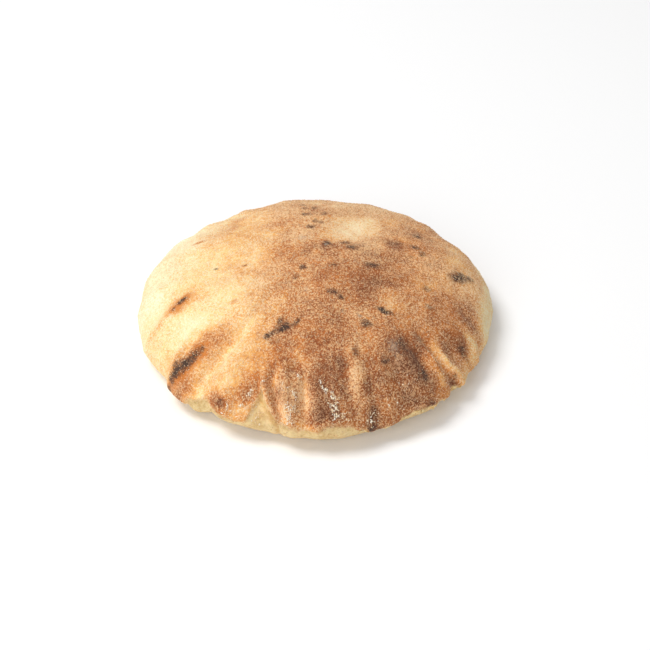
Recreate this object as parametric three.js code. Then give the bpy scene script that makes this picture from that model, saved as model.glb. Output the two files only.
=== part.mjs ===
// A round flatbread roll: a puffed pocket bread baked on a hot stone floor. One piece of bread,
// with a low dome over a flat base, pleats gathered into its rim, and a baked seam round its edge.
// Millimetres, +Z up. The origin is on the table, under the middle of the loaf.
// A bearing is an angle in plan, in degrees: 0 is +X, 90 is the back (+Y) and 270 is the front.

import * as THREE from "three";
import { mergeVertices } from "three/addons/utils/BufferGeometryUtils.js";

// Driving dimensions
const LOAF_RADIUS = 74.9; // plan radius at the widest line, the equator
const EQUATOR_HEIGHT = 9; // the equator above the table
const CROWN_RISE = 30; // the crown above the equator
const DOME_FLATNESS = 2.3; // over 2 the crown is flatter than a ball's
const DOME_POWER = 0.6; // over 0.5 the flanks slope more than a ball's
const BASE_INSET = 14; // how far the underside curls in before it meets the table
const LIP_STEP = 1.1; // the browned top crust stands this proud of the pale side
const LIP_STEP_FROM = -1; // the step runs from this far below the seam
const LIP_STEP_TO = 0.3; // to this far above it
const LIP_BEAD = 0.6; // extra roundness along the very edge of the top crust
const LIP_BEAD_LEVEL = 0.8; // the bead's middle, above the seam
const LIP_BEAD_HALF = 1.6; // the bead's half-width

// How finely the surface is cut into faces
const BEARINGS = 240;
const DOME_RINGS = 17;
const SIDE_RINGS = 4;
const RING_CROWDING = 0.8; // under 1 the rings crowd towards the rim, where the pleats are

// Broad waves of the plan outline: how many bulges, where one lies, how far it reaches
const OUTLINE_WAVES = [
  { count: 2, bearing: 80, reach: 0.3 },
  { count: 3, bearing: 36, reach: 0.6 },
  { count: 4, bearing: 4, reach: 0.4 },
];

// Places where the rim swells out (+) or draws in (-): bearing, half-width in degrees, reach
const RIM_BULGES = [
  { bearing: 42, half: 14, reach: -1.9 },
  { bearing: 95, half: 25, reach: -0.8 },
  { bearing: 138, half: 12, reach: 0.5 },
  { bearing: 150, half: 8, reach: 0.8 },
  { bearing: 164, half: 8, reach: 1.0 },
  { bearing: 214, half: 8, reach: -1.2 },
  { bearing: 222, half: 5, reach: 2.4 },
  { bearing: 229.6, half: 3.6, reach: 4.1 },
  { bearing: 235, half: 3, reach: -1.0 },
  { bearing: 241, half: 5, reach: 0.8 },
  { bearing: 275, half: 13, reach: 0.7 },
  { bearing: 287, half: 5, reach: -1.5 },
  { bearing: 298, half: 8, reach: -0.6 },
  { bearing: 308, half: 5, reach: 1.2 },
  { bearing: 317, half: 4, reach: -1.8 },
  { bearing: 323, half: 5, reach: 0.6 },
  { bearing: 329, half: 6, reach: -1.6 },
  { bearing: 334, half: 9, reach: -1.8 },
  { bearing: 350, half: 7, reach: -1.9 },
];

// The seam between top crust and side: bearing, and how far along the crust it lies above the equator
const SEAM_LINE = [
  [0, -3.5],
  [196, -4],
  [226, -3.5],
  [229.8, 2.6],
  [234, 3.4],
  [237, 2.2],
  [241, 0.8],
  [245, 0],
  [248.3, 0.6],
  [250, 7],
  [251.6, 12],
  [254.5, 9],
  [256.8, 6],
  [260.3, 2.9],
  [265, 1.5],
  [270, 2],
  [273, 3.5],
  [278.5, 3],
  [283, 0.5],
  [287, -4],
  [292, -3],
  [297, -1.6],
  [304, -1.4],
  [309, -2],
  [314, -3.5],
  [319, -4],
  [324, -2.5],
  [331, -3],
  [340, -3.5],
  [360, -3.5],
];

// Pleats: inner and rim bearing, where along the radius they begin, half-width and height.
// A negative height is a groove. hook over 1 keeps the pleat straight until it nears the rim, and
// atRim is the share of its height that is left at the equator.
const PLEATS = [
  { inner: 196, rim: 195, from: 0.62, half: 3.0, height: -0.7 },
  { inner: 201, rim: 200, from: 0.6, half: 3.5, height: 0.6 },
  { inner: 207, rim: 206, from: 0.7, half: 3.5, height: -0.7 },
  { inner: 211, rim: 213, from: 0.6, half: 2.6, height: -0.8 },
  { inner: 215.5, rim: 218.3, from: 0.76, half: 1.5, height: 1.8 },
  { inner: 224.5, rim: 223.5, from: 0.62, half: 6.5, height: -1.6 },
  { inner: 232.5, rim: 229.3, from: 0.58, half: 3.6, height: -5.2, hook: 3, atRim: 0.5 },
  { inner: 239, rim: 237, from: 0.56, half: 4.6, height: 1.6 },
  { inner: 244, rim: 245, from: 0.82, half: 2.4, height: -0.8 },
  { inner: 248, rim: 254.5, from: 0.86, half: 3.4, height: -1.4, hook: 2.3, atRim: 1 },
  { inner: 250.3, rim: 258.2, from: 0.83, half: 1.3, height: -3.4, hook: 2.3, atRim: 0.7 },
  { inner: 251.3, rim: 260, from: 0.8, half: 1.6, height: 2.3, hook: 2, atRim: 0.4 },
  { inner: 252.6, rim: 260.4, from: 0.74, half: 1.6, height: -2.6, hook: 1.4 },
  { inner: 257.3, rim: 261.6, from: 0.72, half: 1.7, height: 1.8 },
  { inner: 262.2, rim: 262.8, from: 0.84, half: 1.4, height: 1.6 },
  { inner: 265.6, rim: 266.6, from: 0.76, half: 1.8, height: -2.8 },
  { inner: 269, rim: 270, from: 0.78, half: 2.0, height: 1.3 },
  { inner: 272.6, rim: 274.5, from: 0.8, half: 1.8, height: -1.6 },
  { inner: 276, rim: 277, from: 0.74, half: 2.4, height: 1.0 },
  { inner: 280, rim: 280, from: 0.68, half: 2.2, height: -1.7 },
  { inner: 284, rim: 285, from: 0.6, half: 3.2, height: 1.8 },
  { inner: 289, rim: 288, from: 0.74, half: 1.8, height: -1.4 },
  { inner: 292.5, rim: 292, from: 0.7, half: 3.2, height: 1.1 },
  { inner: 298, rim: 297.5, from: 0.74, half: 2.4, height: -1.2 },
  { inner: 303, rim: 303, from: 0.66, half: 3.2, height: 1.3 },
  { inner: 308, rim: 309.5, from: 0.6, half: 2.6, height: -1.9 },
  { inner: 311.8, rim: 314.2, from: 0.7, half: 1.7, height: 1.9 },
  { inner: 314.5, rim: 318, from: 0.7, half: 2.4, height: -2.6 },
  { inner: 334, rim: 336, from: 0.84, half: 3.0, height: -1.0 },
  { inner: 342, rim: 341, from: 0.8, half: 2.6, height: -1.2 },
  { inner: 348, rim: 347, from: 0.78, half: 4.0, height: 0.8 },
];
const PLEAT_HOOK = 1;
const PLEAT_AT_RIM = 0.35;
const PLEAT_GROWTH = 0.7; // share of a pleat's length over which it grows to its full height
const PLEAT_FADE_FROM = 0.86; // share of the radius beyond which pleats sink towards the rim
const PLEAT_END_CURL = 70; // degrees of curl under the equator at which the last of them is gone

// Gentler pleats round the back, spaced by a seeded draw
const BACK_PLEATS = { from: 354, to: 552, seed: 11 };
const BACK_GAP = { least: 5, most: 10 }; // degrees between neighbours
const BACK_LEAN = 2; // degrees by which either end may lean aside
const BACK_START = { least: 0.62, most: 0.84 };
const BACK_HALF = { least: 2.2, most: 4.2 };
const BACK_HEIGHT = { least: 0.25, most: 0.8 };

// A fold that curls along the front right rim: each corner is a bearing and a share of the radius
const CURLED_FOLD = {
  corners: [
    [317, 0.76],
    [318, 0.87],
    [318.6, 0.93],
    [321.5, 0.965],
    [327, 0.972],
    [333, 0.962],
    [337, 0.93],
  ],
  half: 1.7,
  height: 2.6,
  rises: 0.25, // share of its length over which its first end rises
  sinks: 0.8, // share of its length from which its other end sinks
};

// Swells (+) and hollows (-) of the crust: place as bearing and share of the radius, reach, height
const SWELLS = [
  { bearing: 55, out: 0.36, reach: 12, height: -1.3 },
  { bearing: 15, out: 0.24, reach: 11, height: 0.5 },
  { bearing: 60, out: 0.13, reach: 10, height: 0.4 },
  { bearing: 95, out: 0.62, reach: 15, height: 0.6 },
  { bearing: 215, out: 0.52, reach: 9, height: 0.7 },
  { bearing: 231.6, out: 0.72, reach: 4.6, height: -2.2 },
  { bearing: 227, out: 0.74, reach: 7, height: -1.3 },
  { bearing: 262, out: 0.79, reach: 3, height: -1.5 },
  { bearing: 326, out: 0.9, reach: 5, height: -1.6 },
  { bearing: 332, out: 0.78, reach: 8, height: 1.2 },
  { bearing: 245, out: 0.72, reach: 11, height: 0.8 },
  { bearing: 130, out: 0.7, reach: 14, height: -0.6 },
  { bearing: 160, out: 0.72, reach: 12, height: 0.6 },
];

// Swells and waves die out from this share of the radius to the rim
const CALM_FROM = 0.9;

// Slow waves over the whole crust: length, direction and height
const CRUST_WAVES = [
  { length: 58, bearing: 20, height: 0.4 },
  { length: 43, bearing: 110, height: 0.35 },
  { length: 31, bearing: 65, height: 0.22 },
  { length: 27, bearing: 150, height: 0.2 },
];

const RADIANS = Math.PI / 180;
const LEAST_UP = 1e-9; // keeps the slope finite at the equator
const SAME_POINT = 1e-4;

function smoothstep(low, high, value) {
  const share = THREE.MathUtils.clamp((value - low) / (high - low), 0, 1);
  return share * share * (3 - 2 * share);
}

function bell(offset) {
  return Math.exp(-offset * offset);
}

// The turn from one bearing to another, from -180 to 180 degrees
function turn(from, to) {
  return THREE.MathUtils.euclideanModulo(to - from + 180, 360) - 180;
}

// A point in plan from its bearing and its share of the radius
function planPoint(bearing, out) {
  const angle = bearing * RADIANS;
  return new THREE.Vector3(Math.cos(angle), Math.sin(angle), 0).multiplyScalar(LOAF_RADIUS * out);
}

// The same run of numbers from 0 to 1 each time, from a whole-number seed
const DRAW_FACTOR = 16807;
const DRAW_RANGE = 2147483647;
function seededDraw(seed) {
  let state = seed;
  return () => {
    state = (state * DRAW_FACTOR) % DRAW_RANGE;
    return state / DRAW_RANGE;
  };
}

function backPleats() {
  const draw = seededDraw(BACK_PLEATS.seed);
  const between = (range) => range.least + (range.most - range.least) * draw();
  const pleats = [];
  let sign = 1;
  for (let at = BACK_PLEATS.from; at < BACK_PLEATS.to; at += between(BACK_GAP)) {
    const lean = between({ least: -BACK_LEAN, most: BACK_LEAN });
    pleats.push({
      inner: at - lean,
      rim: at + lean,
      from: between(BACK_START),
      half: between(BACK_HALF),
      height: sign * between(BACK_HEIGHT),
    });
    sign = -sign;
  }
  return pleats;
}

const ALL_PLEATS = [...PLEATS, ...backPleats()];

// Plan radius of the equator
function outlineRadius(bearing) {
  let radius = LOAF_RADIUS;
  for (const wave of OUTLINE_WAVES) {
    radius += wave.reach * Math.cos(wave.count * (bearing - wave.bearing) * RADIANS);
  }
  for (const bulge of RIM_BULGES) {
    radius += bulge.reach * bell(turn(bulge.bearing, bearing) / bulge.half);
  }
  return radius;
}

function seamHeight(bearing) {
  const next = SEAM_LINE.findIndex(([at]) => at > bearing);
  const [start, low] = SEAM_LINE[next - 1];
  const [end, high] = SEAM_LINE[next];
  return low + (high - low) * smoothstep(start, end, bearing);
}

// Height of all the pleats at a place, out being the share of the radius
function pleatHeight(bearing, out) {
  let height = 0;
  for (const pleat of ALL_PLEATS) {
    const { hook = PLEAT_HOOK, atRim = PLEAT_AT_RIM } = pleat;
    const along = THREE.MathUtils.clamp((out - pleat.from) / (1 - pleat.from), 0, 1);
    const middle = pleat.inner + (pleat.rim - pleat.inner) * along ** hook;
    const aside = turn(middle, bearing) * RADIANS * LOAF_RADIUS * out;
    const kept = 1 - (1 - atRim) * smoothstep(PLEAT_FADE_FROM, 1, out);
    height += pleat.height * kept * smoothstep(0, PLEAT_GROWTH, along) * bell(aside / pleat.half);
  }
  return height;
}

// Height of the curled fold at a place in plan, by its distance from the fold's line
function foldHeight(x, y) {
  const corners = CURLED_FOLD.corners.map(([bearing, out]) => planPoint(bearing, out));
  const place = new THREE.Vector3(x, y, 0);
  const nearest = new THREE.Vector3();
  let away = Infinity;
  let along = 0;
  for (let i = 1; i < corners.length; i += 1) {
    const side = new THREE.Line3(corners[i - 1], corners[i]);
    side.closestPointToPoint(place, true, nearest);
    const distance = nearest.distanceTo(place);
    if (distance < away) {
      away = distance;
      along = (i - 1 + side.closestPointToPointParameter(place, true)) / (corners.length - 1);
    }
  }
  const ends = smoothstep(0, CURLED_FOLD.rises, along) * smoothstep(1, CURLED_FOLD.sinks, along);
  return CURLED_FOLD.height * ends * bell(away / CURLED_FOLD.half);
}

// Height of the swells and slow waves at a place in plan
function crustHeight(x, y) {
  const place = new THREE.Vector3(x, y, 0);
  let height = 0;
  for (const swell of SWELLS) {
    height += swell.height * bell(planPoint(swell.bearing, swell.out).distanceTo(place) / swell.reach);
  }
  for (const wave of CRUST_WAVES) {
    const along = planPoint(wave.bearing, 1).normalize().dot(place);
    height += wave.height * Math.sin((2 * Math.PI * along) / wave.length + wave.bearing);
  }
  return height;
}

// How far the lip stands out, level being the distance along the crust above the equator
function lipHeight(bearing, level) {
  const above = level - seamHeight(bearing);
  const bead = LIP_BEAD * bell((above - LIP_BEAD_LEVEL) / LIP_BEAD_HALF);
  return bead - LIP_STEP * (1 - smoothstep(LIP_STEP_FROM, LIP_STEP_TO, above));
}

// A point of the dome: tilt is 0 at the crown and 90 at the equator
function domePoint(bearing, tilt) {
  const out = Math.sin(tilt * RADIANS);
  const radius = outlineRadius(bearing);
  const up = Math.max(1 - out ** DOME_FLATNESS, LEAST_UP);
  const rise = CROWN_RISE * up ** DOME_POWER;
  const slope = DOME_POWER * DOME_FLATNESS * out ** (DOME_FLATNESS - 1) * up ** (DOME_POWER - 1);
  const lean = Math.atan((slope * CROWN_RISE) / radius);
  const x = radius * out * Math.cos(bearing * RADIANS);
  const y = radius * out * Math.sin(bearing * RADIANS);
  const level = Math.hypot(radius * (1 - out), rise);
  const calm = 1 - smoothstep(CALM_FROM, 1, out);
  const relief = pleatHeight(bearing, out) + foldHeight(x, y) + crustHeight(x, y) * calm;
  const raised = relief + lipHeight(bearing, level);
  const reach = radius * out + raised * Math.sin(lean);
  return new THREE.Vector3(
    reach * Math.cos(bearing * RADIANS),
    reach * Math.sin(bearing * RADIANS),
    EQUATOR_HEIGHT + rise + raised * Math.cos(lean),
  );
}

// A point of the side below the equator: curl is 0 at the equator and 90 at the table
function sidePoint(bearing, curl) {
  const radius = outlineRadius(bearing);
  const inset = BASE_INSET * (1 - Math.cos(curl * RADIANS));
  const drop = EQUATOR_HEIGHT * Math.sin(curl * RADIANS);
  const fade = 1 - smoothstep(0, PLEAT_END_CURL, curl);
  const raised = pleatHeight(bearing, 1) * fade + lipHeight(bearing, -Math.hypot(inset, drop));
  const reach = radius - inset + raised * Math.cos(curl * RADIANS);
  return new THREE.Vector3(
    reach * Math.cos(bearing * RADIANS),
    reach * Math.sin(bearing * RADIANS),
    EQUATOR_HEIGHT - drop,
  );
}

// A lathed blank of one ring to each level, from the table up, whose points are then set on the crust
function loafGeometry() {
  const rings = DOME_RINGS + SIDE_RINGS;
  const profile = [new THREE.Vector2(0, 0)];
  for (let ring = 1; ring <= rings; ring += 1) {
    profile.push(new THREE.Vector2(1, ring));
  }
  profile.push(new THREE.Vector2(0, rings + 1));
  const geometry = new THREE.LatheGeometry(profile, BEARINGS);
  geometry.deleteAttribute("normal");
  geometry.deleteAttribute("uv");
  const places = geometry.getAttribute("position");
  for (let i = 0; i < places.count; i += 1) {
    const bearing = 360 * ((Math.floor(i / profile.length) % BEARINGS) / BEARINGS);
    const ring = rings + 1 - (i % profile.length);
    let point;
    if (ring === 0) {
      point = domePoint(0, 0);
    } else if (ring <= DOME_RINGS) {
      point = domePoint(bearing, 90 * (ring / DOME_RINGS) ** RING_CROWDING);
    } else if (ring <= rings) {
      point = sidePoint(bearing, (90 * (ring - DOME_RINGS)) / SIDE_RINGS);
    } else {
      point = new THREE.Vector3(0, 0, 0);
    }
    places.setXYZ(i, point.x, point.y, point.z);
  }
  const closed = mergeVertices(geometry, SAME_POINT);
  closed.computeBoundingBox();
  const middle = closed.boundingBox.getCenter(new THREE.Vector3());
  closed.translate(-middle.x, -middle.y, -closed.boundingBox.min.z);
  closed.computeVertexNormals();
  return closed;
}

const crust = new THREE.MeshStandardMaterial({
  name: "baked crust",
  color: 0xc8925f,
  roughness: 0.85,
  metalness: 0,
});

const loaf = new THREE.Mesh(loafGeometry(), crust);
loaf.name = "loaf";

const flatbreadRoll = new THREE.Group();
flatbreadRoll.add(loaf);

export default flatbreadRoll;
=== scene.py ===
"""A round flatbread roll, lying on a white table in soft light.

The part's own solid is the frame. What is made here is the look of the loaf: its crust with the pleats,
the browning and the charred spots, the semolina baked onto it, loose flakes, and the torn seam.
"""

import math

import bpy
import numpy as np
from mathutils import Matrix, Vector, noise


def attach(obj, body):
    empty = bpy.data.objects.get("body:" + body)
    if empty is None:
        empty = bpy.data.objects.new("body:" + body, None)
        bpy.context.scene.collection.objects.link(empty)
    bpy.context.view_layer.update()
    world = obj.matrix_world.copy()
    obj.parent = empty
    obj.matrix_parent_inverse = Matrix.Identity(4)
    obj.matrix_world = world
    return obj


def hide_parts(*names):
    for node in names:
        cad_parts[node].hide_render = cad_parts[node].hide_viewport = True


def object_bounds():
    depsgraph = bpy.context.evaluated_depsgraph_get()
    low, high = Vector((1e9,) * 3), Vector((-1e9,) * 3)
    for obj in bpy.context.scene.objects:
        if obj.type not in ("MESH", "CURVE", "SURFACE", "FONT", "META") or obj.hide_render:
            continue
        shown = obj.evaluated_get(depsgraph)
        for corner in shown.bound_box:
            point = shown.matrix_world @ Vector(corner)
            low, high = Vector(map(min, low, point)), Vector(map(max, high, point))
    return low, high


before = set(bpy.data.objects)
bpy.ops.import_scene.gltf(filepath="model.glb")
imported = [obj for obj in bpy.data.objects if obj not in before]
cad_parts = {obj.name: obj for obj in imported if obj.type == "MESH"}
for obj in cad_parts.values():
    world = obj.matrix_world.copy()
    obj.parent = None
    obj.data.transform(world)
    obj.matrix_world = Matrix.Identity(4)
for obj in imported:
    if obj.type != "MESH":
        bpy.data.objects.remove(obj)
solid_low, solid_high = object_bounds()

# Camera. It looks at the loaf from the front, 38 degrees above the table, through a short tele lens.
# The loaf's middle lies a little left of and above the middle of the picture.
camera_slope = math.radians(38)
camera_away = 0.525
sight_line = Vector((0, math.cos(camera_slope), -math.sin(camera_slope)))
looked_at = Vector((0, -0.003, 0.009))
picture_middle = Vector((0.0037, -0.0055, 0.0068))

camera = bpy.data.objects.new("camera", bpy.data.cameras.new("camera"))
camera.data.lens = 69
camera.location = looked_at - sight_line * camera_away
camera.rotation_euler = (picture_middle - camera.location).to_track_quat("-Z", "Y").to_euler()
bpy.context.scene.collection.objects.link(camera)
bpy.context.scene.camera = camera

# Light. A soft box high on the left, a wide one overhead and one in front on the left, all in an even white
# surround. The picture's colours are kept as they are, with no film curve.
bpy.context.scene.view_settings.view_transform = "Standard"

surround = bpy.data.worlds.new("surround")
surround.use_nodes = True
surround.node_tree.nodes["Background"].inputs["Color"].default_value = (1, 1, 1, 1)
surround.node_tree.nodes["Background"].inputs["Strength"].default_value = 0.29
bpy.context.scene.world = surround


def soft_box(name, place, across, power):
    """A round soft light at a place, turned towards the loaf."""
    lamp = bpy.data.lights.new(name, "AREA")
    lamp.shape = "DISK"
    lamp.size = across
    lamp.energy = power
    box = bpy.data.objects.new(name, lamp)
    box.location = place
    box.rotation_euler = (-Vector(place)).to_track_quat("-Z", "Y").to_euler()
    bpy.context.scene.collection.objects.link(box)


soft_box("key", (-1.0, 0.15, 1.85), 1.0, 26)
soft_box("top", (-0.1, 0.4, 2.3), 1.8, 8)
soft_box("fill", (-0.8, -1.7, 1.1), 1.6, 16)


# Table. A plain sheet of white card, so large that its edge lies outside the picture. It gives off a little
# light of its own, so that it stays white all around the loaf.
class Value:
    """A shader socket that Python's operators turn into Math nodes."""

    def __init__(self, material, socket):
        self.material = material
        self.socket = socket

    def math(self, operation, first, second):
        return self.material.node("ShaderNodeMath", 0, {"operation": operation}, {0: first, 1: second})

    def __add__(self, other):
        return self.math("ADD", self, other)

    def __sub__(self, other):
        return self.math("SUBTRACT", self, other)

    def __rsub__(self, other):
        return self.math("SUBTRACT", other, self)

    def __mul__(self, other):
        return self.math("MULTIPLY", self, other)

    __radd__ = __add__
    __rmul__ = __mul__


class Material:
    """A node material. Every node comes from the method node, and the ones after it name its uses."""

    def __init__(self, name):
        self.material = bpy.data.materials.new(name)
        self.material.use_nodes = True
        self.nodes = self.material.node_tree.nodes
        self.links = self.material.node_tree.links

    def feed(self, entry, given):
        """Link a value to a socket, or set a plain number, vector or colour on it."""
        if isinstance(given, Value):
            self.links.new(given.socket, entry)
        elif isinstance(given, tuple) and entry.type == "RGBA":
            entry.default_value = (*given, 1)
        else:
            entry.default_value = given

    def set_stops(self, ramp, stops):
        while len(ramp.elements) < len(stops):
            ramp.elements.new(0.5)
        for mark, (place, colour) in zip(ramp.elements, stops):
            mark.position = place
            mark.color = (*from_screen(*colour), 1)

    def node(self, kind, output, settings, entries):
        """A node of the kind: its settings come first, then the values or links of its sockets."""
        node = self.nodes.new(kind)
        for setting, given in settings.items():
            if setting == "stops":
                self.set_stops(node.color_ramp, given)
            else:
                setattr(node, setting, given)
        for entry, given in entries.items():
            self.feed(node.inputs[entry], given)
        return Value(self, node.outputs[output])

    def painted(self, name):
        return self.node("ShaderNodeAttribute", "Fac", {"attribute_name": name}, {})

    def place(self):
        return self.node("ShaderNodeTexCoord", "Object", {}, {})

    def cloudy(self, grain, detail=2.0, rough=0.5, seed=0.0):
        """Soft noise from 0 to 1, with lumps of the grain's size."""
        entries = {
            "Vector": self.place(), "W": seed, "Scale": 1 / grain, "Detail": detail, "Roughness": rough,
        }
        return self.node("ShaderNodeTexNoise", "Fac", {"noise_dimensions": "4D"}, entries)

    def ramped(self, given, low, high):
        """0 below low, 1 above high, and a smooth rise between them."""
        entries = {"Value": given, "From Min": low, "From Max": high}
        return self.node("ShaderNodeMapRange", "Result", {"interpolation_type": "SMOOTHSTEP"}, entries)

    def tones(self, given, stops):
        return self.node("ShaderNodeValToRGB", "Color", {"stops": stops}, {"Fac": given})

    def over(self, under, top, share):
        """The top colour laid over the one under it, by its share."""
        return self.node("ShaderNodeMix", 2, {"data_type": "RGBA"}, {0: share, 6: under, 7: top})

    def surface(self, entries):
        """The values or links of the material's own shader."""
        for entry, given in entries.items():
            self.feed(self.nodes["Principled BSDF"].inputs[entry], given)


def from_screen(red, green, blue):
    """A colour as a screen shows it, 0 to 255, as the linear light that a shader takes."""
    shares = (channel / 255 for channel in (red, green, blue))
    return tuple(s / 12.92 if s <= 0.04045 else ((s + 0.055) / 1.055) ** 2.4 for s in shares)


table_reach = 4.0
table_height = min(0.0, solid_low.z)
corners = [(-1, -1), (1, -1), (1, 1), (-1, 1)]
table_points = [(x * table_reach, y * table_reach, table_height) for x, y in corners]
table_mesh = bpy.data.meshes.new("table")
table_mesh.from_pydata(table_points, [], [(0, 1, 2, 3)])
table = bpy.data.objects.new("table", table_mesh)
bpy.context.scene.collection.objects.link(table)

sheet = Material("white sheet")
sheet.surface({
    "Base Color": (0.92, 0.92, 0.92), "Roughness": 0.8, "Specular IOR Level": 0.1,
    "Emission Color": (1, 1, 1), "Emission Strength": 0.07,
})
table_mesh.materials.append(sheet.material)

# Crust. The loaf is one round of dough, puffed in the oven into a low dome on a flat base. Its rim has
# gathered into pleats, the brown top ends in a lip, and the pale side curls in under it. The form is the
# solid's own, worked out from the same sizes, a few of them eased, with small lumps and wrinkles added.
MM = 0.001
loaf_radius = 74.9
equator_height = 9.0
crown_rise = 30.0
dome_flatness = 2.3
dome_power = 0.6
base_inset = 14.0
lip_step = 1.1
lip_bead, lip_at, lip_half = 0.6, 0.8, 1.6
swells_sink_from, pleats_end_curl = 0.9, 70

# bulges, bearing, reach
outline_waves = [(2, 80, 0.3), (3, 36, 0.6), (4, 4, 0.4)]
# bearing, half-width, reach
rim_bulges = [
    (42, 14, -1.9), (95, 25, -0.8), (138, 12, 0.5), (150, 8, 0.8), (164, 8, 1.0), (214, 8, -1.2),
    (222, 5, 2.4), (229.6, 3.6, 4.1), (235, 3, -1.0), (241, 5, 0.8), (275, 13, 0.7), (287, 5, -1.5),
    (298, 8, -0.6), (308, 5, 1.2), (317, 4, -1.8), (324, 4, -1.6), (330, 6, -1.0), (334, 9, -1.8),
    (350, 7, -1.9),
]
# bearing, height of the seam along the crust, from the equator up
seam_line = [
    (0, -3.5), (196, -4), (226, -3.5), (229.8, 2.6), (234, 3.4), (237, 2.2), (241, 0.8), (245, 0),
    (248.3, 0.6), (250.2, 8), (252, 15), (254.2, 10), (256.8, 6), (260.3, 2.9), (265, 1.5), (270, 2),
    (273, 3.5), (278.5, 3), (283, 0.5), (287, -4), (292, -2), (297, 0.4), (304, 0.9), (309, 0.4),
    (314, -1.6), (319, -1), (324, -0.8), (331, -2.6), (340, -3.5), (360, -3.5),
]
# inner bearing, rim bearing, start, half-width, height, then for some: hook, share left at the rim
pleats = [
    (196, 195, 0.62, 3.0, -0.7), (201, 200, 0.6, 3.5, 0.6), (207, 206, 0.7, 3.5, -0.7),
    (211, 213, 0.6, 2.6, -0.8), (215.5, 218.3, 0.76, 1.5, 1.8), (224.5, 223.5, 0.62, 6.5, -1.6),
    (232.5, 229.3, 0.58, 3.6, -5.2, 3, 0.5), (239, 237, 0.56, 4.6, 1.6), (244, 245, 0.82, 2.4, -0.8),
    (248, 254.5, 0.86, 3.4, -1.4, 2.3, 1), (250.3, 258.2, 0.83, 1.3, -3.4, 2.3, 0.7),
    (251.3, 260, 0.8, 1.6, 2.3, 2, 0.4), (252.6, 260.4, 0.74, 1.6, -2.6, 1.4),
    (257.3, 261.6, 0.72, 1.7, 1.8), (262.2, 262.8, 0.84, 1.4, 1.6), (265.6, 266.6, 0.76, 1.8, -2.8),
    (269, 270, 0.78, 2.0, 0.9), (272.6, 274.5, 0.8, 2.0, -0.8), (276, 277, 0.74, 2.4, 0.5),
    (280, 280, 0.68, 2.4, -0.9), (284, 285, 0.6, 3.2, 1.2), (289, 288, 0.74, 2.0, -0.8),
    (292.5, 292, 0.7, 3.2, 0.6), (298, 297.5, 0.74, 2.6, -0.8), (303, 303, 0.66, 3.2, 0.9),
    (308, 309.5, 0.6, 2.6, -1.9), (311.8, 314.2, 0.7, 1.7, 1.9), (314.5, 318, 0.7, 2.4, -2.6),
    (334, 336, 0.84, 3.0, -1.0), (342, 341, 0.8, 2.6, -1.2), (348, 347, 0.78, 4.0, 0.8),
]
pleat_at_rim = 0.35
pleat_sinks_from, pleat_grown_at = 0.86, 0.7
back_from, back_to, back_seed = 354, 552, 11
back_gap, back_start, back_half, back_height = (5, 10), (0.62, 0.84), (2.2, 4.2), (0.25, 0.8)
# bearing, share of the radius
curled_fold = [
    (317, 0.76), (318, 0.87), (318.6, 0.93), (321.5, 0.965), (327, 0.972), (333, 0.962), (337, 0.93),
]
fold_half, fold_height = 1.7, 2.6
fold_grown_at, fold_sinks_from = 0.25, 0.8
# bearing, share of the radius, reach, height
swells = [
    (55, 0.36, 12, -1.3), (15, 0.24, 11, 0.5), (60, 0.13, 10, 0.4), (95, 0.62, 15, 0.6),
    (215, 0.52, 9, 0.7), (231.6, 0.72, 4.6, -2.2), (227, 0.74, 7, -1.3), (262, 0.79, 3, -1.5),
    (326, 0.9, 5, -1.6), (332, 0.78, 8, 1.2), (245, 0.72, 11, 0.8), (130, 0.7, 14, -0.6),
    (160, 0.72, 12, 0.6),
]
# length, bearing, height
crust_waves = [(58, 20, 0.4), (43, 110, 0.35), (31, 65, 0.22), (27, 150, 0.2)]


def smoothstep(low, high, value):
    share = np.clip((value - low) / (high - low), 0, 1)
    return share * share * (3 - 2 * share)


def bell(offset):
    return np.exp(-offset * offset)


def turn(start, end):
    """The turn from one bearing to another, -180 to 180 degrees."""
    return (end - start + 180) % 360 - 180


def plan_point(bearing, out):
    """The place in plan, in millimetres, of a bearing and a share of the radius."""
    angle = np.radians(bearing)
    return loaf_radius * out * np.cos(angle), loaf_radius * out * np.sin(angle)


def seeded_draw(seed):
    """Endless numbers from 0 to 1, the same ones in each run."""
    factor, span = 16807, 2147483647
    state = seed
    while True:
        state = state * factor % span
        yield state / span


def back_pleats():
    """Gentle pleats round the back, up and down in turn, at seeded places."""
    draw = seeded_draw(back_seed)

    def between(limits):
        return limits[0] + (limits[1] - limits[0]) * next(draw)

    found = []
    sign = 1
    at = back_from
    while at < back_to:
        lean = 4 * (next(draw) - 0.5)
        start, half, height = between(back_start), between(back_half), between(back_height)
        found.append((at - lean, at + lean, start, half, sign * height))
        sign = -sign
        at += between(back_gap)
    return found


def outline_radius(bearing):
    """How far the rim reaches at each bearing."""
    waves = (reach * np.cos(np.radians(count * (bearing - at))) for count, at, reach in outline_waves)
    bulges = (reach * bell(turn(at, bearing) / half) for at, half, reach in rim_bulges)
    return loaf_radius + sum(waves) + sum(bulges)


def seam_height(bearing):
    """How far above the equator the seam runs at each bearing, along the listed line."""
    height = np.zeros_like(bearing)
    for (start, low), (end, high) in zip(seam_line[:-1], seam_line[1:]):
        between = low + (high - low) * smoothstep(start, end, bearing)
        height = np.where((bearing >= start) & (bearing < end), between, height)
    return height


def pleat_height(bearing, out):
    """How far the pleats stand up or sink at a bearing and a share of the radius."""
    height = 0
    for inner, rim, start, half, top, *rest in pleats + back_pleats():
        hook = rest[0] if rest else 1
        at_rim = rest[1] if len(rest) > 1 else pleat_at_rim
        along = np.clip((out - start) / (1 - start), 0, 1)
        middle = inner + (rim - inner) * along**hook
        aside = np.radians(turn(middle, bearing)) * loaf_radius * out
        kept = 1 - (1 - at_rim) * smoothstep(pleat_sinks_from, 1, out)
        height = height + top * kept * smoothstep(0, pleat_grown_at, along) * bell(aside / half)
    return height


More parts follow.
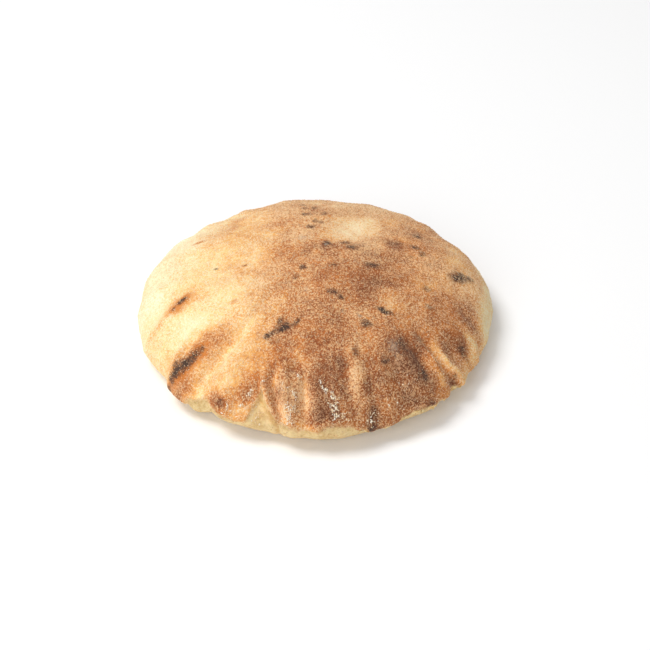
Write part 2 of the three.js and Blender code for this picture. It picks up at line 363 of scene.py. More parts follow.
def fold_shape(x, y):
    """How strongly the curled fold stands up at a place in plan, 0 to 1."""
    line = np.array([plan_point(*corner) for corner in curled_fold])
    away = np.full(np.shape(x), np.inf)
    along = np.zeros(np.shape(x))
    for step, (start, end) in enumerate(zip(line[:-1], line[1:])):
        side = end - start
        share = np.clip(((x - start[0]) * side[0] + (y - start[1]) * side[1]) / (side @ side), 0, 1)
        gap = np.hypot(x - start[0] - share * side[0], y - start[1] - share * side[1])
        along = np.where(gap < away, (step + share) / (len(line) - 1), along)
        away = np.minimum(away, gap)
    ends = smoothstep(0, fold_grown_at, along) * smoothstep(1, fold_sinks_from, along)
    return ends * bell(away / fold_half)


def crust_height(x, y):
    """How far the swells and the long waves of the crust stand up at a place in plan."""
    height = 0
    for bearing, out, reach, top in swells:
        middle = plan_point(bearing, out)
        height = height + top * bell(np.hypot(x - middle[0], y - middle[1]) / reach)
    for length, bearing, top in crust_waves:
        along = x * math.cos(math.radians(bearing)) + y * math.sin(math.radians(bearing))
        height = height + top * np.sin(2 * math.pi * along / length + bearing)
    return height


def cloud(places, grain, seed):
    """Smooth noise from about -1 to 1 with lumps of the grain's size, at places in millimetres."""
    shifted = places / grain + seed * np.array([17.3, 5.1, 9.7])
    return np.array([noise.noise(Vector(place)) for place in shifted])


# The surface is a wheel of spokes, from the crown over the equator and under to the middle of the base
spokes = 640
dome_rings, side_rings, base_rings = 108, 24, 14
ring_crowding = 0.8
turns = np.linspace(0, 360, spokes, endpoint=False)
dome_tilt = 90 * (np.arange(1, dome_rings + 1) / dome_rings) ** ring_crowding
side_curl = 90 * np.arange(1, side_rings + 1) / side_rings
base_share = 1 - np.arange(1, base_rings) / base_rings

# For each point: level is how far it lies from the equator, above or below. Relief moves it outward by push
# and up by lift. Calm and fade are the shares of the swells and of the pleats that are left there.
bearing, tilt = (grid.ravel() for grid in np.meshgrid(turns, dome_tilt))
out = np.sin(np.radians(tilt))
radius = outline_radius(bearing)
up = np.maximum(1 - out**dome_flatness, 1e-9)
rise = crown_rise * up**dome_power
slope = dome_power * dome_flatness * out ** (dome_flatness - 1) * up ** (dome_power - 1)
lean = np.arctan(slope * crown_rise / radius)
plan_x = radius * out * np.cos(np.radians(bearing))
plan_y = radius * out * np.sin(np.radians(bearing))
level = np.hypot(radius * (1 - out), rise)
dome = dict(bearing=bearing, out=out, x=plan_x, y=plan_y, level=level, reach=radius * out)
dome["height"] = equator_height + rise
dome["calm"] = 1 - smoothstep(swells_sink_from, 1, out)
dome["fade"] = np.ones_like(out)
dome["push"] = np.sin(lean)
dome["lift"] = np.cos(lean)

bearing, curl = (grid.ravel() for grid in np.meshgrid(turns, side_curl))
radius = outline_radius(bearing)
inset = base_inset * (1 - np.cos(np.radians(curl)))
drop = equator_height * np.sin(np.radians(curl))
side = dict(bearing=bearing, out=np.ones_like(bearing), level=-np.hypot(inset, drop), reach=radius - inset)
side["x"] = side["reach"] * np.cos(np.radians(bearing))
side["y"] = side["reach"] * np.sin(np.radians(bearing))
side["height"] = equator_height - drop
side["calm"] = np.zeros_like(bearing)
side["fade"] = 1 - smoothstep(0, pleats_end_curl, curl)
side["push"] = np.cos(np.radians(curl))
side["lift"] = np.zeros_like(bearing)

skin = {key: np.concatenate([dome[key], side[key]]) for key in dome}
places = np.stack([skin["x"], skin["y"], skin["height"]], 1)


# Marks of the oven, in plan, in millimetres: x to the right and y to the back, from the loaf's middle
marks_offset = 0.0, 1.3
# Browning runs from 0, pale dough, to 1, dark brown
pale_left, brown_right = 0.23, 0.58
# x, y, two reaches, turn, browning, strength
browning_patches = [
    (-28, 34, 20, 15, 10, 0.46, 0.9), (-30, 6, 14, 20, 0, 0.31, 0.9), (-20, 52, 7, 6, 0, 0.6, 0.7),
    (-34, -24, 8, 9, 0, 0.2, 0.8), (-70, -10, 8, 10, 0, 0.08, 0.8), (-50, -30, 8, 6, 0, 0.06, 0.9),
    (-52, -18, 7, 6, 0, 0.42, 0.7), (-64, -32, 5, 10, 30, 0.22, 0.6), (-60, 15, 8, 6, 0, 0.3, 0.5),
    (-60.6, -19.6, 8, 2, 37, 0.44, 0.8), (-30, -53, 10, 8, 35, 0.29, 0.95),
    (-36, -58, 5, 3, -30, 0.26, 0.7), (-24, -49, 6, 5, 0, 0.4, 0.8),
    # The first patch on the next line darkens the valley at the front left, partly toasting and partly
    # painted shade on its wall
    (-40, -41, 4.8, 8.6, -28, 0.6, 0.9), (-48.6, -44.6, 9, 4.6, 15, 0.62, 0.95),
    (-43.4, -43, 4, 3.4, 30, 0.5, 0.8), (-43.4, -52, 3.2, 5, -25, 0.24, 0.85),
    (-53.6, -51, 6, 3.4, -42, 0.66, 0.95), (-45, -58, 6, 1.4, -37, 0.12, 0.9),
    (-37, -62.4, 4.6, 2.4, -33, 0.86, 0.95), (-27, -63, 4.6, 3.4, -20, 0.6, 0.85),
    (-23.4, -60, 2.6, 5, 0, 0.5, 0.7), (-21, -67, 3, 2, 0, 0.16, 0.7), (-10, 0, 12, 18, 0, 0.58, 0.7),
    (-1, 34, 6, 14, 0, 0.66, 0.8), (-3, 52, 12, 6, 0, 0.48, 0.6), (17, 25, 12, 9, 20, 0.2, 0.95),
    (28, 17, 12, 4, -10, 0.34, 0.8), (6, 16, 8, 6, 0, 0.38, 0.7), (45, 30, 16, 16, 0, 0.6, 0.8),
    (62, 20, 8, 16, 0, 0.48, 0.8), (34, 12, 9, 4.5, -15, 0.86, 0.9), (20, 3, 13, 7, 0, 0.7, 0.8),
    (50, -2, 7, 5, 0, 0.42, 0.7), (42, -8, 12, 8, 0, 0.58, 0.8), (36, -23, 11, 10, 0, 0.44, 0.85),
    (20, -13, 14, 8, 0, 0.84, 0.85), (28, -11, 6, 4, 0, 0.92, 0.7), (14, -21, 8, 5, 0, 0.88, 0.8),
    (28, -10, 8, 7, 0, 0.88, 0.5), (-8, -16, 9, 8, 0, 0.64, 0.7), (-4, -26, 14, 8, 0, 0.58, 0.7),
    (-11, -43, 9, 7, 0, 0.84, 0.8), (6, -45, 12, 10, 0, 0.7, 0.8), (-15, -57, 5, 8, 10, 0.7, 0.8),
    (-6.4, -54, 2.6, 9, 5, 0.4, 0.85), (5.6, -54, 7, 9, 0, 0.86, 0.85),
    (14, -58, 2.6, 10, 12, 0.38, 0.9), (2, -65, 12, 6, 0, 0.76, 0.8), (24, -64, 8, 6, 0, 0.8, 0.8),
    (12, -38, 8, 6, 0, 0.68, 0.7), (36, -50, 12, 8, -50, 0.94, 0.85), (31, -60, 9, 7, 0, 0.82, 0.85),
    (43.4, -60, 5, 4, 0, 0.78, 0.85), (24, -55, 3, 5, 0, 0.62, 0.7), (60, -19.5, 7, 8, -20, 0.92, 0.9),
    (51, -33.4, 10, 6, -50, 0.84, 0.85), (58, -34.4, 3.6, 4, 0, 1.1, 0.95),
    (61.8, -28.4, 4.4, 3, 0, 0.3, 0.9), (62.4, -33, 2.4, 3, 0, 0.38, 0.9),
    (58.6, -39, 3.6, 3, -40, 0.38, 0.9), (53, -44.2, 5.5, 2, -32, 0.3, 0.95),
    (48, -41, 4, 2, -60, 0.42, 0.8), (54.6, -47, 5, 2, -40, 0.92, 0.9),
    (47, -50, 5, 1.2, -37, 0.4, 0.85), (64.4, -31, 1.8, 3.4, -30, 0.86, 0.9),
    # The patches at x 71 and 74 pale the right rim: its pale dough, and painted light where the lamps leave
    # it darker
    (71, -12, 4.4, 13, -12, 0.18, 0.95), (74, 3, 4.6, 12, 3, 0.2, 0.9),
    (71, 18, 4.4, 10, 10, 0.24, 0.8), (-10, -64.8, 2.2, 6, 0, 0.62, 0.8),
    (7.2, -70.2, 2.6, 3.4, 0, 1, 0.9), (1.2, -72.1, 2, 4, 0, 0.9, 0.85),
    (21.2, -70, 3, 2.2, 0, 1.05, 0.9), (-15.8, -60.6, 1.3, 5, -10, 0.18, 0.9),
    (-5.6, -66, 1.9, 5.5, 6, 0.2, 0.9), (-13, -71, 2.4, 3, 0, 0.14, 0.9),
    (-19.8, -66.4, 1, 4.4, 21, 0.14, 0.9), (15.2, -62, 2.8, 9, 0, 0.4, 0.9),
    (11, -70.4, 3, 3, 0, 0.4, 0.85), (-3, -74.6, 9, 1.6, 0, 0.18, 0.8), (4, 2, 10, 6, 0, 0.84, 0.7),
    (42, 2, 8, 5, 0, 0.72, 0.7), (-2, -30, 16, 7, 0, 0.8, 0.55), (32, -32, 8, 6, 0, 0.74, 0.5),
    (31, -53, 7, 9, 0, 1.02, 0.7), (52, -41, 5, 5, -40, 0.7, 0.5),
]
# Charred spots: x, y, length, width, turn, strength
char_marks = [
    (-13, -40.8, 13, 2.4, 21, 0.9), (-13, -40.3, 6, 4.4, 30, 0.8), (-14.3, -37.6, 3.4, 4.2, 0, 0.8),
    (-18.4, -43, 4.2, 2.8, 15, 0.85), (-17, -46, 6, 4, 0, 0.4), (-8, -38.4, 4.2, 2.2, 25, 0.75),
    (-55.2, -45.6, 4.6, 4.2, 15, 1.1), (-51.8, -45.6, 5.2, 4.6, 20, 1.15),
    (-48, -43.8, 4.6, 4.2, 30, 1.05), (-45, -42.4, 2.6, 2.6, 30, 0.6), (-54, -17.2, 3.6, 2.6, 45, 0.85),
    (-56.6, -19.6, 2, 1.6, 0, 0.6), (-41.5, -2.6, 1.8, 1.4, 20, 0.9), (-29.5, -2.6, 1.4, 1.1, 0, 0.6),
    (59, 0, 8.5, 4.4, 30, 1), (63.6, 3, 5, 2.8, 35, 0.7), (4, 7.5, 3.4, 5, 0, 0.85),
    (12.3, 9, 5, 3.4, 0, 0.7), (14.8, 4.8, 4.6, 4.6, 0, 0.8), (18.5, 7, 4.4, 1.8, -20, 0.5),
    (21.9, -6.2, 5.4, 3.8, 0, 0.95), (24.5, -5, 3.4, 1.8, 30, 0.6), (6.5, -8.2, 5, 3, 0, 0.6),
    (-5.4, -8.6, 3.4, 3.2, 0, 0.85), (-8.4, -14.6, 2.8, 4, 0, 0.5), (-13.5, -13, 4, 3, 0, 0.3),
    (6.2, -23.4, 6, 4.4, 0, 0.6), (9.4, -26, 2.6, 2.8, 0, 0.85), (12, -22, 3.4, 4, 0, 0.35),
    (26.8, -31.2, 5.2, 2.4, -18, 1), (18.8, -38.6, 3.8, 4.6, 0, 0.9), (16.4, -35.4, 3, 2.4, 0, 0.5),
    (10, -33.2, 3.4, 3.6, 0, 0.42), (14.3, -51.2, 3.8, 5, 0, 0.55), (3, -47.6, 4, 3.6, 0, 0.4),
    (31.8, -45.6, 5, 6, -20, 0.64), (34.4, -47.4, 4.6, 5, -40, 0.5), (37, -50, 5, 5, -50, 0.42),
    (40.8, -53.4, 4.8, 5, 0, 0.78), (25.8, -52.8, 3.2, 3.4, 0, 0.6), (32, -61.4, 4, 4, 0, 0.4),
    (28, -58, 3, 3, 0, 0.3), (43.6, 24.5, 4.6, 3.8, 0, 0.7), (41, 21, 3.4, 2.6, 0, 0.4),
    (41.4, 11.8, 4.2, 2.6, -20, 0.7), (43.8, 8, 3, 5.4, 25, 0.75), (34, 12.4, 5, 2.4, -15, 0.5),
    (39, 4, 4, 2.6, 0, 0.35), (45, -13.4, 4, 3.2, 0, 0.6), (44.8, -24, 4, 4, 0, 0.6),
    (58, -34.6, 3.4, 3.8, 0, 0.7), (55, -47, 4, 2.2, -40, 0.55), (43.8, -60, 3.4, 3.4, 20, 0.7),
    (-5.5, 44, 4.2, 2.8, 0, 0.65), (-5, 39, 3.4, 2.4, 0, 0.6), (-0.8, 39.5, 3, 4.4, 0, 0.7),
    (-4, 32.4, 4, 3.4, 0, 0.7), (3, 33, 3, 4, 0, 0.6), (-0.4, 26, 3, 3, 0, 0.7),
    (2.2, 25.4, 2.6, 3, 0, 0.65), (-2.6, 21.2, 4, 3, 0, 0.8), (8, 39, 2.2, 2.2, 0, 0.35),
    (22, 43, 3, 3.6, 0, 0.35), (21.4, -71.6, 4.6, 3.2, 0, 0.9), (-37.4, -62, 4, 2, -33, 0.5),
    (7, -70.6, 3.4, 4, 0, 0.5),
]
# Singed orange flecks and rims: x, y, length, width, turn, strength
singe_marks = [
    (-47.4, -44.4, 10, 6.4, 28, 0.95), (-43.4, -41, 3.4, 2.6, 30, 0.7), (-52, -48, 10, 4, 8, 0.85),
    (-57.6, -46.4, 3, 2.6, 0, 0.5), (-60.6, -19.6, 10, 3, 37, 0.3), (-51.5, -14.5, 5, 4, 0, 0.5),
    (-54.5, -17.6, 9, 6.4, 45, 0.95), (-49.4, 20.5, 4.4, 2.6, 15, 0.8), (-37, 22, 2.6, 2.2, 0, 0.7),
    (-29.5, -2.6, 2.4, 1.8, 0, 0.7), (-19, -12, 2, 1.6, 0, 0.8), (-26, -23, 3.4, 2.4, 0, 0.5),
    (-32, -26, 2.6, 1.8, 0, 0.5), (-20, 51, 5, 6, 20, 0.5), (-23, 46, 5, 3, 20, 0.4),
    (61.6, -40.6, 4.4, 4.4, -35, 0.95), (60, -44, 3.4, 3, -35, 0.8), (-30, 34, 7, 4, 20, 0.25),
    (-24, -58, 5, 5, -20, 0.35), (-33, -52, 7, 4, 35, 0.25), (-27, -62, 6, 3, -20, 0.3),
]
# Grey flour ash: x, y, length, width, turn, strength
ash_marks = [
    (-5.5, 13, 7, 5.5, 20, 0.6), (-9, 17, 5, 4, 0, 0.4), (19.2, -4, 3, 3, 0, 0.5),
    (17, -35, 3.4, 3, 0, 0.5), (29, -47, 5, 8, 0, 0.55), (-49.5, -45.6, 4, 1.4, 15, 0.45),
    (-55, -46.2, 4, 1.2, 10, 0.35), (4, 6.6, 1.2, 1.4, 0, 0.9), (48, 6, 9, 5, -20, 0.35),
    (-4, -22, 3, 4.5, 0, 0.5), (-13, -16, 7, 5, 0, 0.3), (25, 0, 12, 6, 0, 0.2),
]
# Where the peel's fine meal lies thick or thin: x, y, two reaches, turn, how much more
meal_patches = [
    (20, 52, 40, 14, 0, 0.34), (17, 25, 14, 10, 20, 0.3), (-50, 0, 24, 50, 0, -0.1),
    (-8, 15, 8, 8, 0, 0.2), (66, 10, 10, 26, 0, 0.12), (15, -60, 3, 10, 0, 0.4),
    (-13, -65, 8, 9, 0, 0.34), (-6, -63, 2.5, 8, 5, 0.16), (-39, -39, 6, 8, -28, 0.14),
    (-56, 30, 14, 24, 0, 0.4), (-68, 10, 10, 30, 0, 0.3), (-18, -15, 12, 9, 0, 0.22),
    (-14, 36, 11, 12, 0, 0.25), (20, 8, 9, 14, 0, 0.22), (45, 2, 12, 8, 0, 0.12),
    (20, -13, 14, 9, 0, -0.12), (55, -30, 12, 10, -30, -0.12), (-5, -60, 30, 14, 0, -0.1),
]


def patch(x, y, middle_x, middle_y, across, along, angle):
    """1 in the middle of a soft oval and 0 away from it."""
    cos, sin = math.cos(math.radians(angle)), math.sin(math.radians(angle))
    aside, ahead = x - middle_x, y - middle_y
    return bell(np.hypot((aside * cos + ahead * sin) / across, (ahead * cos - aside * sin) / along))


def marks(x, y, listed):
    """The strongest of the listed marks at each place."""
    # At this share of its length or width from its middle, a mark has faded to about a third
    reach_share = 0.62
    strongest = np.zeros_like(x)
    for middle_x, middle_y, length, width, angle, strength in listed:
        here = strength * patch(x, y, middle_x, middle_y, length * reach_share, width * reach_share, angle)
        strongest = np.maximum(strongest, here)
    return strongest


# The seam runs unevenly, up and down by up to a millimetre
seam_wander = 0.7
unevenness = cloud(places * [1, 1, 0.3], 3.2, 1) + 0.6 * cloud(places, 1.4, 2)
above_seam = skin["level"] - seam_height(skin["bearing"]) + seam_wander * unevenness

# The patches wander by a few millimetres, and the marks have ragged edges
x, y = skin["x"] + marks_offset[0], skin["y"] + marks_offset[1]
wander, drift = [2.2 * cloud(places, 11, seed) + 0.9 * cloud(places, 4, seed + 1) for seed in (3, 5)]
ragged_x, ragged_y = [cloud(places, 2.6, seed) + 0.6 * cloud(places, 1.2, seed + 8) for seed in (8, 9)]

browning = pale_left + (brown_right - pale_left) * smoothstep(-46, -6, x + 0.12 * y + wander)
for middle_x, middle_y, across, along, angle, value, strength in browning_patches:
    here = strength * patch(x + wander, y + drift, middle_x, middle_y, across, along, angle)
    browning = browning + (value - browning) * here
# The mottling is stronger where the crust has browned
clouds = cloud(places, 9, 7) + 0.7 * cloud(places, 4, 15)
browning = browning + (0.06 + 0.1 * smoothstep(0.2, 0.5, browning)) * clouds

# The front edge and its two flanks are darker, the left flank partly as painted shade in the valley there
front_edge = smoothstep(-50, -62, y) * smoothstep(-46, -26, x) * smoothstep(32, 14, x)
left_flank = smoothstep(-34, -42, y) * smoothstep(-32, -42, x)
right_flank = smoothstep(-32, -42, y) * smoothstep(28, 44, x)
# The right side is painted paler, as painted light where the lamps leave it darker; the back is paler too
browning = browning - 0.07 * smoothstep(30, 75, x) - 0.08 * smoothstep(22, 60, y)
browning = browning + 0.16 * front_edge + 0.09 * left_flank + 0.06 * right_flank
# The curled fold is painted at half the browning along its ridge
ridge = fold_shape(skin["x"], skin["y"])
browning = browning * (1 - 0.5 * ridge)

char = marks(x + ragged_x, y + ragged_y, char_marks) * smoothstep(-0.5, 1, above_seam)
singe = marks(x + ragged_x, y + ragged_y, singe_marks)
ash = marks(x, y, ash_marks)
meal_share = 0.5 + 0.16 * cloud(places, 12, 18)
for middle_x, middle_y, across, along, angle, more in meal_patches:
    meal_share = meal_share + more * patch(x + wander, y + drift, middle_x, middle_y, across, along, angle)
side_crumb = 1 - smoothstep(-1.8, 1.5, above_seam + 1.1 * cloud(places, 0.9, 23))

# The skin's relief: wrinkles that run out to the rim, lumps of three sizes and blistered char, then the
# pleats, the fold and the swells, and the lip along the seam
pleated = smoothstep(0.66, 0.9, skin["out"]) * smoothstep(0, 0.3, 1 - side_crumb)
outward = np.stack([skin["bearing"] * 0.55, skin["out"] * 6, 0 * x], 1)
wrinkle_height = 0.15
wrinkles = wrinkle_height * cloud(outward, 1.0, 10) * pleated
# height, size, seed
lump_kinds = [(0.28, 9, 11), (0.14, 4.2, 12), (0.06, 2.0, 13)]
lumps = sum(top * cloud(places, size, seed) for top, size, seed in lump_kinds)
blisters = char * (0.25 + 0.35 * cloud(places, 1.3, 14))
settled = smoothstep(0.2, 3.0, skin["height"])
relief = pleat_height(skin["bearing"], skin["out"]) * skin["fade"] + fold_height * ridge
relief = relief + crust_height(skin["x"], skin["y"]) * skin["calm"]
lip = lip_bead * bell((above_seam - lip_at) / lip_half) - lip_step * (1 - smoothstep(-1, 0.3, above_seam))
raised = relief + lip + (lumps + wrinkles + blisters) * settled

reach = skin["reach"] + raised * skin["push"]
height = skin["height"] + raised * skin["lift"]
angle = np.radians(skin["bearing"])
skin_points = np.stack([reach * np.cos(angle), reach * np.sin(angle), np.maximum(height, 0)], 1)

edge = skin_points[-spokes:]
base_points = np.concatenate([edge * share for share in base_share])
base_points[:, 2] = 0
crown_point = np.array([[0, 0, equator_height + crown_rise + crust_height(0.0, 0.0)]])
points = np.concatenate([crown_point, skin_points, base_points, [[0, 0, 0]]])

rings = dome_rings + side_rings + base_rings - 1
spoke = np.arange(spokes)
following = (spoke + 1) % spokes
faces = [(0, 1 + a, 1 + b) for a, b in zip(spoke, following)]
for ring in range(rings - 1):
    inner = 1 + ring * spokes
    outer = inner + spokes
    faces += [(inner + a, outer + a, outer + b, inner + b) for a, b in zip(spoke, following)]
last = 1 + (rings - 1) * spokes
faces += [(last + b, last + a, len(points) - 1) for a, b in zip(spoke, following)]

middle = (points.min(0) + points.max(0)) / 2
solid_middle = (np.array(solid_low) + np.array(solid_high)) / 2
shift = np.array([solid_middle[0] / MM - middle[0], solid_middle[1] / MM - middle[1], solid_low.z / MM])
crust_mesh = bpy.data.meshes.new("crust")
crust_mesh.from_pydata(((points + shift) * MM).tolist(), [], faces)
crust_mesh.shade_smooth()


def paint(mesh, name, values):
    """Store a value for each of the mesh's points, under a name that its material reads."""
    mesh.attributes.new(name, "FLOAT", "POINT").data.foreach_set("value", np.asarray(values, np.float32))


def whole(at_crown, on_skin, on_base):
    """Values for every point of the crust, from the crown to the middle of the base."""
    return np.concatenate([[at_crown], on_skin, on_base, [np.mean(on_base[-spokes:])]])


# The underside is pale, with toasted spots
base_browning = 0.34 + 0.25 * cloud(base_points, 14, 20) + 0.15 * cloud(base_points, 5, 21)
base_char = 0.8 * smoothstep(0.34, 0.6, cloud(base_points, 8, 22))
none = np.zeros(len(base_points))
paint(crust_mesh, "browning", whole(0.5, browning, base_browning))
paint(crust_mesh, "char", whole(0, char, base_char))
paint(crust_mesh, "singe", whole(0, singe, none))
paint(crust_mesh, "ash", whole(0, ash, none))
paint(crust_mesh, "side crumb", whole(0, side_crumb, none))
paint(crust_mesh, "meal", whole(0.5, meal_share, none + 0.4))

# The crust's unwrapped sheets: the top and side as a large disc, the underside as a small one. Each disc
# has its middle and its radius.
top_disc = 0.41, 0.41, 0.4
base_disc = 0.815, 0.815, 0.175
first_spoke = np.concatenate([crown_point, skin_points[::spokes]])
run = np.concatenate([[0], np.cumsum(np.linalg.norm(np.diff(first_spoke, axis=0), axis=1))])
top_shares = run / run[-1]
base_shares = np.concatenate([[1], base_share])
spoke_angles = np.radians(np.arange(spokes + 1) * 360 / spokes)


def on_disc(disc, share, angles):
    """Places at a share of a disc's radius, at the given angles."""
    middle_u, middle_v, radius = disc
    right, up = radius * share * np.cos(angles), radius * share * np.sin(angles)
    return np.stack([middle_u + right, middle_v + up], -1)


def ring_corners(disc, inner, outer, angles):
    """The corners of one ring of faces, between two shares of a disc's radius."""
    near, far = on_disc(disc, inner, angles), on_disc(disc, outer, angles)
    return np.stack([near[:-1], far[:-1], far[1:], near[1:]], 1).reshape(-1, 2)


crown_middle, crown_ring = (on_disc(top_disc, share, spoke_angles) for share in top_shares[:2])
base_middle, base_ring = (on_disc(base_disc, share, -spoke_angles) for share in (0, base_shares[-1]))
sheet_corners = [np.stack([crown_middle[1:], crown_ring[:-1], crown_ring[1:]], 1).reshape(-1, 2)]
for inner, outer in zip(top_shares[1:-1], top_shares[2:]):
    sheet_corners.append(ring_corners(top_disc, inner, outer, spoke_angles))
for inner, outer in zip(base_shares[:-1], base_shares[1:]):
    sheet_corners.append(ring_corners(base_disc, inner, outer, -spoke_angles))
sheet_corners.append(np.stack([base_ring[1:], base_ring[:-1], base_middle[1:]], 1).reshape(-1, 2))
sheets = crust_mesh.uv_layers.new(name="OFBake")
sheets.data.foreach_set("uv", np.concatenate(sheet_corners).astype(np.float32).ravel())

crust = bpy.data.objects.new("crust", crust_mesh)
bpy.context.scene.collection.objects.link(crust)

# Stops from pale dough to dark brown: the bare crust, and the same crust where fine meal has stuck to it
bare_tones = [
    (0.0, (253, 234, 186)), (0.2, (248, 212, 146)), (0.38, (234, 166, 88)),
    (0.56, (198, 118, 54)), (0.76, (154, 84, 40)), (1.0, (104, 56, 30)),
]
mealy_tones = [
    (0.0, (255, 246, 220)), (0.2, (253, 236, 198)), (0.38, (248, 214, 168)),
    (0.56, (240, 198, 148)), (0.76, (226, 178, 128)), (1.0, (192, 146, 108)),
]
dark_brown = from_screen(104, 56, 34)
soot = from_screen(54, 44, 38)
singed = from_screen(204, 118, 40)
grey_ash = from_screen(196, 178, 156)
crumb_cream = from_screen(240, 216, 160)
crumb_gold = from_screen(214, 180, 118)
mottle_size, speck_size, meal_size = 3.4 * MM, 0.9 * MM, 0.46 * MM

baked = Material("baked crust")
browned = baked.painted("browning")
charred = baked.painted("char")
mottle = baked.cloudy(mottle_size, 3, 0.6, 1.0) - 0.5
speck = baked.cloudy(speck_size, 2, 0.6, 2.0) - 0.5
meal_cells = {"Vector": baked.place(), "Scale": 1 / meal_size}
meal_bits = baked.node("ShaderNodeTexVoronoi", "Color", {}, meal_cells)
stuck_meal = baked.ramped(meal_bits + speck * 0.5 + baked.painted("meal"), 0.84, 1.4)
done = browned + mottle * 0.26 + speck * 0.5
tone = baked.over(baked.tones(done, bare_tones), baked.tones(done, mealy_tones), stuck_meal)
tone = baked.over(tone, singed, baked.ramped(baked.painted("singe") + mottle * 0.5, 0.12, 0.7) * 0.85)
crumb = baked.over(crumb_cream, crumb_gold, baked.ramped(mottle + speck * 0.6, -0.15, 0.2))
tone = baked.over(tone, crumb, baked.painted("side crumb") * (0.92 - stuck_meal * 0.3))
tone = baked.over(tone, dark_brown, baked.ramped(charred + mottle * 0.3, 0.15, 0.6) * 0.6)
burnt = baked.ramped(charred + speck * 1.6 + mottle * 0.9 - stuck_meal * 0.2, 0.26, 0.94)
tone = baked.over(tone, soot, burnt * 0.9)
tone = baked.over(tone, grey_ash, baked.ramped(baked.painted("ash") + speck * 0.9, 0.25, 0.75) * 0.5)
standing = stuck_meal * 0.5 + speck * 0.6
grain = baked.node(
    "ShaderNodeBump", "Normal", {}, {"Strength": 0.5, "Distance": 0.35 * MM, "Height": standing},
)
baked.surface({
    "Base Color": tone, "Roughness": 0.78, "Specular IOR Level": 0.25, "Normal": grain,
    "Subsurface Weight": 0.08, "Subsurface Radius": (1.0, 0.5, 0.25), "Subsurface Scale": 1.5 * MM,
    "Sheen Weight": 0.1, "Sheen Roughness": 0.6, "Sheen Tint": (1.0, 0.88, 0.76),
})
crust_mesh.materials.append(baked.material)
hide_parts("loaf")
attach(crust, "root")

# Semolina. Coarse yellow meal off the baker's peel, baked fast all over the top, thickest where it browned.
# Each grain is a small eight-sided bead, half sunk into the crust.
draw = np.random.default_rng(7)
net = skin_points.reshape(dome_rings + side_rings, spokes, 3)
net_next = np.roll(net, -1, 1)
falling, rising = net_next[1:] - net[:-1], net_next[:-1] - net[1:]
cell_normals = np.cross(falling, rising).reshape(-1, 3)
cell_areas = np.linalg.norm(cell_normals, axis=1) / 2
cell_normals /= 2 * cell_areas[:, None]


def cell_values(values):
    """The skin's values at one corner of each of its cells."""
    return values.reshape(-1, spokes)[:-1].ravel()


def scattered(count, thickness):
    """Random cells of the crust, crowded by the thickness given for each, with a place in each."""
    share = cell_areas * thickness
    cells = draw.choice(len(share), count, p=share / share.sum())
    ring, spoke = np.divmod(cells, spokes)
    down, along = draw.random((2, count, 1))
    near = net[ring, spoke] * (1 - along) + net_next[ring, spoke] * along
    far = net[ring + 1, spoke] * (1 - along) + net_next[ring + 1, spoke] * along
    return cells, near * (1 - down) + far * down


def bits(name, places, normals, length, width, thickness, sides):
    """One mesh of many small lens-shaped bits, each lying on its normal at a random turn."""
    count = len(places)
    ahead = np.cross(normals, draw.normal(size=(count, 3)))
    ahead /= np.linalg.norm(ahead, axis=1)[:, None]
    aside = np.cross(normals, ahead)
    corner = 2 * math.pi * np.arange(sides) / sides
    uneven = draw.uniform(0.72, 1.2, (count, sides))
    rim = (
        (np.cos(corner) * uneven * length[:, None] / 2)[:, :, None] * ahead[:, None]
        + (np.sin(corner) * uneven * width[:, None] / 2)[:, :, None] * aside[:, None]
    )
    poles = normals[:, None] * (thickness[:, None] * np.array([0.5, -0.5]))[:, :, None]
    shape = np.concatenate([rim, poles], 1) + places[:, None]
    corners = []
    for step in range(sides):
        following = (step + 1) % sides
        corners += [(step, following, sides), (following, step, sides + 1)]
    first = np.arange(count)[:, None, None] * (sides + 2)
    mesh = bpy.data.meshes.new(name)
    outline = (shape.reshape(-1, 3) + shift) * MM
    mesh.from_pydata(outline.tolist(), [], (first + np.array(corners)).reshape(-1, 3).tolist())
    piece = bpy.data.objects.new(name, mesh)
    bpy.context.scene.collection.objects.link(piece)
    return piece


grain_count = 24000
grain_width, grain_flatness = (0.36, 0.62), (0.6, 1)
grain_lift, grain_tip = 0.04, 0.5
grain_thickness, grain_corners = 0.8, 4
# More of it lies on browned crust, and less on the side and on char
strewn = smoothstep(0.05, 0.5, browning) * 0.75 + 0.25
strewn = strewn * (1 - 0.65 * side_crumb) * smoothstep(-3, 2, skin["level"])
strewn = strewn * np.clip(1 + 0.9 * cloud(places, 6, 30), 0.1, 2) * (1 - 0.3 * char)
cells, grain_places = scattered(grain_count, cell_values(strewn))
tipped = cell_normals[cells] + draw.normal(scale=grain_tip, size=(grain_count, 3))
tipped /= np.linalg.norm(tipped, axis=1)[:, None]
grain_length = draw.uniform(*grain_width, grain_count)
semolina = bits(
    "semolina", grain_places + grain_lift * cell_normals[cells], tipped,
    grain_length, grain_length * draw.uniform(*grain_flatness, grain_count),
    grain_length * grain_thickness, grain_corners,
)
paint(semolina.data, "browning", np.repeat(cell_values(browning)[cells], grain_corners + 2))
paint(semolina.data, "shade", np.repeat(draw.random(grain_count), grain_corners + 2))

meal = Material("baked semolina")
raw_grain = from_screen(255, 244, 212)
gold_grain = from_screen(248, 220, 168)
pale_grain = from_screen(250, 226, 188)
baked_grain = from_screen(196, 128, 74)
burnt_grain = from_screen(150, 92, 58)
on_pale = meal.over(raw_grain, gold_grain, meal.painted("shade"))
on_brown = meal.over(pale_grain, baked_grain, meal.painted("shade") * 0.8)
grain_tone = meal.over(on_pale, on_brown, meal.ramped(meal.painted("browning"), 0.2, 0.5))
toasted = meal.ramped(meal.painted("browning") + meal.painted("shade") * 0.4, 0.6, 1.3)
meal.surface({
    "Base Color": meal.over(grain_tone, burnt_grain, toasted * 0.7), "Roughness": 0.7,
    "Specular IOR Level": 0.3, "Subsurface Weight": 0.1, "Subsurface Radius": (1.0, 0.6, 0.3),
    "Subsurface Scale": 0.6 * MM,
})
semolina.data.materials.append(meal.material)
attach(semolina, "root")

